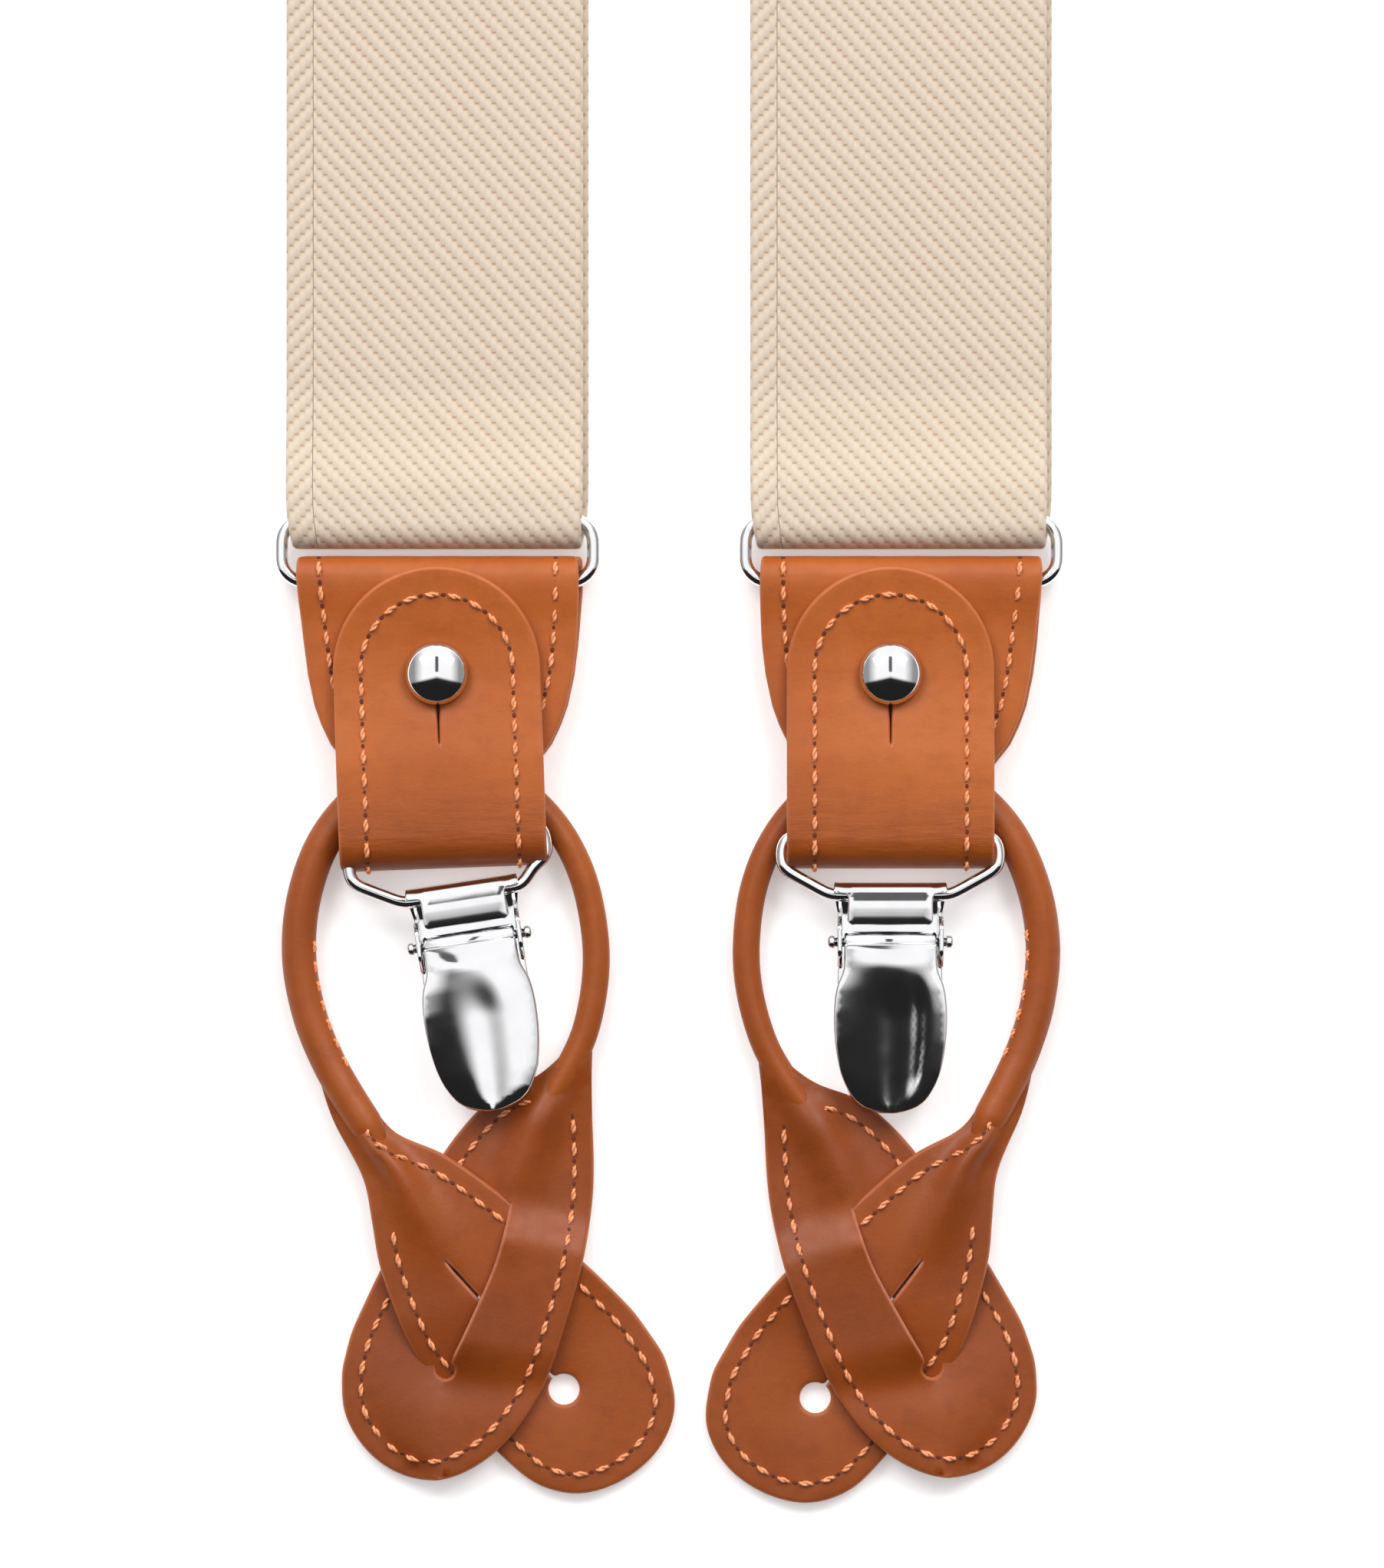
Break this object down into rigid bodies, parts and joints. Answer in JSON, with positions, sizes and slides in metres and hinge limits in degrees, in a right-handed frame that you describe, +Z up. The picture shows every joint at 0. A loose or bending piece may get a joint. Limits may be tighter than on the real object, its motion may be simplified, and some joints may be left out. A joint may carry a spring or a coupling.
{
  "type": "suspenders",
  "caption": "Y-back elastic suspenders with leather ends that carry both rolled button loops and chrome clips on wire rings, lying flat.",
  "frame": {"origin": "on the surface it lies on, under the middle of its length and width", "axes": "+X towards the wearer's left, +Y from the front ends towards the rear end, +Z up from the surface"},
  "size_m": [0.1034, 1.064, 0.011],
  "materials": {
    "webbing": "cream twill-woven elastic",
    "leather": "tan, lightly grained, satin",
    "chrome": "bright nickel plate",
    "rubber": "matt"
  },
  "bodies": {
    "harness": {"patch_back": "leather", "patch_front": "leather", "left_front_strap": "webbing", "right_front_strap": "webbing", "rear_strap": "webbing"},
    "left_adjuster": {"left_adjuster_frame": "chrome", "left_adjuster_pin": "chrome"},
    "left_adjuster_lever": {"left_adjuster_lever": "chrome"},
    "left_tail": {"left_strap_tail": "webbing"},
    "right_adjuster": {"right_adjuster_frame": "chrome", "right_adjuster_pin": "chrome"},
    "right_adjuster_lever": {"right_adjuster_lever": "chrome"},
    "right_tail": {"right_strap_tail": "webbing"},
    "left_ring": {"left_ring": "chrome"},
    "left_tab": {"left_tab": "leather", "left_stud": "chrome", "left_stud_screw": "chrome"},
    "left_flap": {"left_flap": "leather"},
    "left_loop": {"left_button_loop": "leather"},
    "left_clip_wire": {"left_clip_wire": "chrome"},
    "left_clip": {"left_clip_body": "chrome", "left_clip_pin": "chrome", "left_clip_pad_lower": "rubber"},
    "left_clip_lever": {"left_clip_lever": "chrome"},
    "left_clip_jaw": {"left_clip_jaw": "chrome", "left_clip_pad_upper": "rubber"},
    "right_ring": {"right_ring": "chrome"},
    "right_tab": {"right_tab": "leather", "right_stud": "chrome", "right_stud_screw": "chrome"},
    "right_flap": {"right_flap": "leather"},
    "right_loop": {"right_button_loop": "leather"},
    "right_clip_wire": {"right_clip_wire": "chrome"},
    "right_clip": {"right_clip_body": "chrome", "right_clip_pin": "chrome", "right_clip_pad_lower": "rubber"},
    "right_clip_lever": {"right_clip_lever": "chrome"},
    "right_clip_jaw": {"right_clip_jaw": "chrome", "right_clip_pad_upper": "rubber"},
    "rear_ring": {"rear_ring": "chrome"},
    "rear_tab": {"rear_tab": "leather", "rear_stud": "chrome", "rear_stud_screw": "chrome"},
    "rear_flap": {"rear_flap": "leather"},
    "rear_loop": {"rear_button_loop": "leather"},
    "rear_clip_wire": {"rear_clip_wire": "chrome"},
    "rear_clip": {"rear_clip_body": "chrome", "rear_clip_pin": "chrome", "rear_clip_pad_lower": "rubber"},
    "rear_clip_lever": {"rear_clip_lever": "chrome"},
    "rear_clip_jaw": {"rear_clip_jaw": "chrome", "rear_clip_pad_upper": "rubber"}
  },
  "joints": [
    {"name": "left_adjuster_slide", "type": "slide", "parent": "harness", "child": "left_adjuster", "axis": [0, -1, 0], "range_m": [0, 0.12], "deforming": ["left_front_strap", "left_strap_tail"]},
    {"name": "left_tail_slide", "type": "slide", "parent": "left_adjuster", "child": "left_tail", "axis": [0, 1, 0], "range_m": [0, 0.06], "deforming": ["left_front_strap", "left_strap_tail"]},
    {"name": "left_adjuster_lever_hinge", "type": "hinge", "parent": "left_adjuster", "child": "left_adjuster_lever", "pos_m": [-0.0297, -0.134, 0.0092], "axis": [-1, 0, 0], "range_deg": [0, 100]},
    {"name": "right_adjuster_slide", "type": "slide", "parent": "harness", "child": "right_adjuster", "axis": [0, -1, 0], "range_m": [0, 0.12], "deforming": ["right_front_strap", "right_strap_tail"]},
    {"name": "right_tail_slide", "type": "slide", "parent": "right_adjuster", "child": "right_tail", "axis": [0, 1, 0], "range_m": [0, 0.06], "deforming": ["right_front_strap", "right_strap_tail"]},
    {"name": "right_adjuster_lever_hinge", "type": "hinge", "parent": "right_adjuster", "child": "right_adjuster_lever", "pos_m": [0.0297, -0.134, 0.0092], "axis": [-1, 0, 0], "range_deg": [0, 100]},
    {"name": "left_ring_hinge", "type": "hinge", "parent": "left_tail", "child": "left_ring", "pos_m": [-0.0297, -0.4062, 0.0027], "axis": [-1, 0, 0], "range_deg": [0, 125]},
    {"name": "left_tab_hinge", "type": "hinge", "parent": "left_ring", "child": "left_tab", "pos_m": [-0.0297, -0.414, 0.0027], "axis": [1, 0, 0], "range_deg": [-40, 0]},
    {"name": "left_flap_hinge", "type": "hinge", "parent": "left_tab", "child": "left_flap", "pos_m": [-0.02892, -0.44706, 0.00765], "axis": [0.9993, 0.0366, 0], "range_deg": [0, 135]},
    {"name": "left_loop_sway", "type": "hinge", "parent": "left_tab", "child": "left_loop", "pos_m": [-0.02844, -0.45395, 0.0024], "axis": [0, 0, 1], "range_deg": [-2, 0.5]},
    {"name": "left_wire_hinge", "type": "hinge", "parent": "left_tab", "child": "left_clip_wire", "pos_m": [-0.0277, -0.4456, 0.005], "axis": [0.989, 0.1478, 0], "range_deg": [-6, 0]},
    {"name": "left_clip_hinge", "type": "hinge", "parent": "left_clip_wire", "child": "left_clip", "pos_m": [-0.02643, -0.45411, 0.005], "axis": [0.989, 0.1478, 0], "range_deg": [-45, 0]},
    {"name": "left_clip_lever_hinge", "type": "hinge", "parent": "left_clip", "child": "left_clip_lever", "pos_m": [-0.02554, -0.46004, 0.0054], "axis": [0.989, 0.1478, 0], "range_deg": [-90, 0]},
    {"name": "left_clip_jaw_hinge", "type": "hinge", "parent": "left_clip", "child": "left_clip_jaw", "pos_m": [-0.02522, -0.46222, 0.0051], "axis": [0.989, 0.1478, 0], "range_deg": [-12, 0]},
    {"name": "right_ring_hinge", "type": "hinge", "parent": "right_tail", "child": "right_ring", "pos_m": [0.0297, -0.4062, 0.0027], "axis": [-1, 0, 0], "range_deg": [0, 125]},
    {"name": "right_tab_hinge", "type": "hinge", "parent": "right_ring", "child": "right_tab", "pos_m": [0.0297, -0.414, 0.0027], "axis": [1, 0, 0], "range_deg": [-40, 0]},
    {"name": "right_flap_hinge", "type": "hinge", "parent": "right_tab", "child": "right_flap", "pos_m": [0.02825, -0.44707, 0.00765], "axis": [1, 0, 0], "range_deg": [0, 135]},
    {"name": "right_loop_sway", "type": "hinge", "parent": "right_tab", "child": "right_loop", "pos_m": [0.02825, -0.454, 0.0024], "axis": [0, 0, 1], "range_deg": [-3, 2]},
    {"name": "right_wire_hinge", "type": "hinge", "parent": "right_tab", "child": "right_clip_wire", "pos_m": [0.02825, -0.4456, 0.005], "axis": [1, 0, 0], "range_deg": [-60, 0]},
    {"name": "right_clip_hinge", "type": "hinge", "parent": "right_clip_wire", "child": "right_clip", "pos_m": [0.02825, -0.4542, 0.005], "axis": [1, 0, 0], "range_deg": [-45, 0]},
    {"name": "right_clip_lever_hinge", "type": "hinge", "parent": "right_clip", "child": "right_clip_lever", "pos_m": [0.02825, -0.4602, 0.0054], "axis": [1, 0, 0], "range_deg": [-90, 0]},
    {"name": "right_clip_jaw_hinge", "type": "hinge", "parent": "right_clip", "child": "right_clip_jaw", "pos_m": [0.02825, -0.4624, 0.0051], "axis": [1, 0, 0], "range_deg": [-12, 0]},
    {"name": "rear_ring_hinge", "type": "hinge", "parent": "harness", "child": "rear_ring", "pos_m": [0, 0.4062, 0.0027], "axis": [1, 0, 0], "range_deg": [0, 125]},
    {"name": "rear_tab_hinge", "type": "hinge", "parent": "rear_ring", "child": "rear_tab", "pos_m": [0, 0.414, 0.0027], "axis": [-1, 0, 0], "range_deg": [-40, 0]},
    {"name": "rear_flap_hinge", "type": "hinge", "parent": "rear_tab", "child": "rear_flap", "pos_m": [0, 0.44707, 0.00765], "axis": [-1, 0, 0], "range_deg": [0, 135]},
    {"name": "rear_loop_sway", "type": "hinge", "parent": "rear_tab", "child": "rear_loop", "pos_m": [0, 0.454, 0.0024], "axis": [0, 0, 1], "range_deg": [-3, 2]},
    {"name": "rear_wire_hinge", "type": "hinge", "parent": "rear_tab", "child": "rear_clip_wire", "pos_m": [0, 0.4456, 0.005], "axis": [-1, 0, 0], "range_deg": [-60, 0]},
    {"name": "rear_clip_hinge", "type": "hinge", "parent": "rear_clip_wire", "child": "rear_clip", "pos_m": [0, 0.4542, 0.005], "axis": [-1, 0, 0], "range_deg": [-45, 0]},
    {"name": "rear_clip_lever_hinge", "type": "hinge", "parent": "rear_clip", "child": "rear_clip_lever", "pos_m": [0, 0.4602, 0.0054], "axis": [-1, 0, 0], "range_deg": [-90, 0]},
    {"name": "rear_clip_jaw_hinge", "type": "hinge", "parent": "rear_clip", "child": "rear_clip_jaw", "pos_m": [0, 0.4624, 0.0051], "axis": [-1, 0, 0], "range_deg": [-12, 0]}
  ],
  "couplings": [
    {"joint": "left_tail_slide", "follows": "left_adjuster_slide", "ratio": 0.5},
    {"joint": "right_tail_slide", "follows": "right_adjuster_slide", "ratio": 0.5},
    {"joint": "left_clip_jaw_hinge", "follows": "left_clip_lever_hinge", "ratio": 0.1},
    {"joint": "right_clip_jaw_hinge", "follows": "right_clip_lever_hinge", "ratio": 0.1},
    {"joint": "rear_clip_jaw_hinge", "follows": "rear_clip_lever_hinge", "ratio": 0.1}
  ]
}
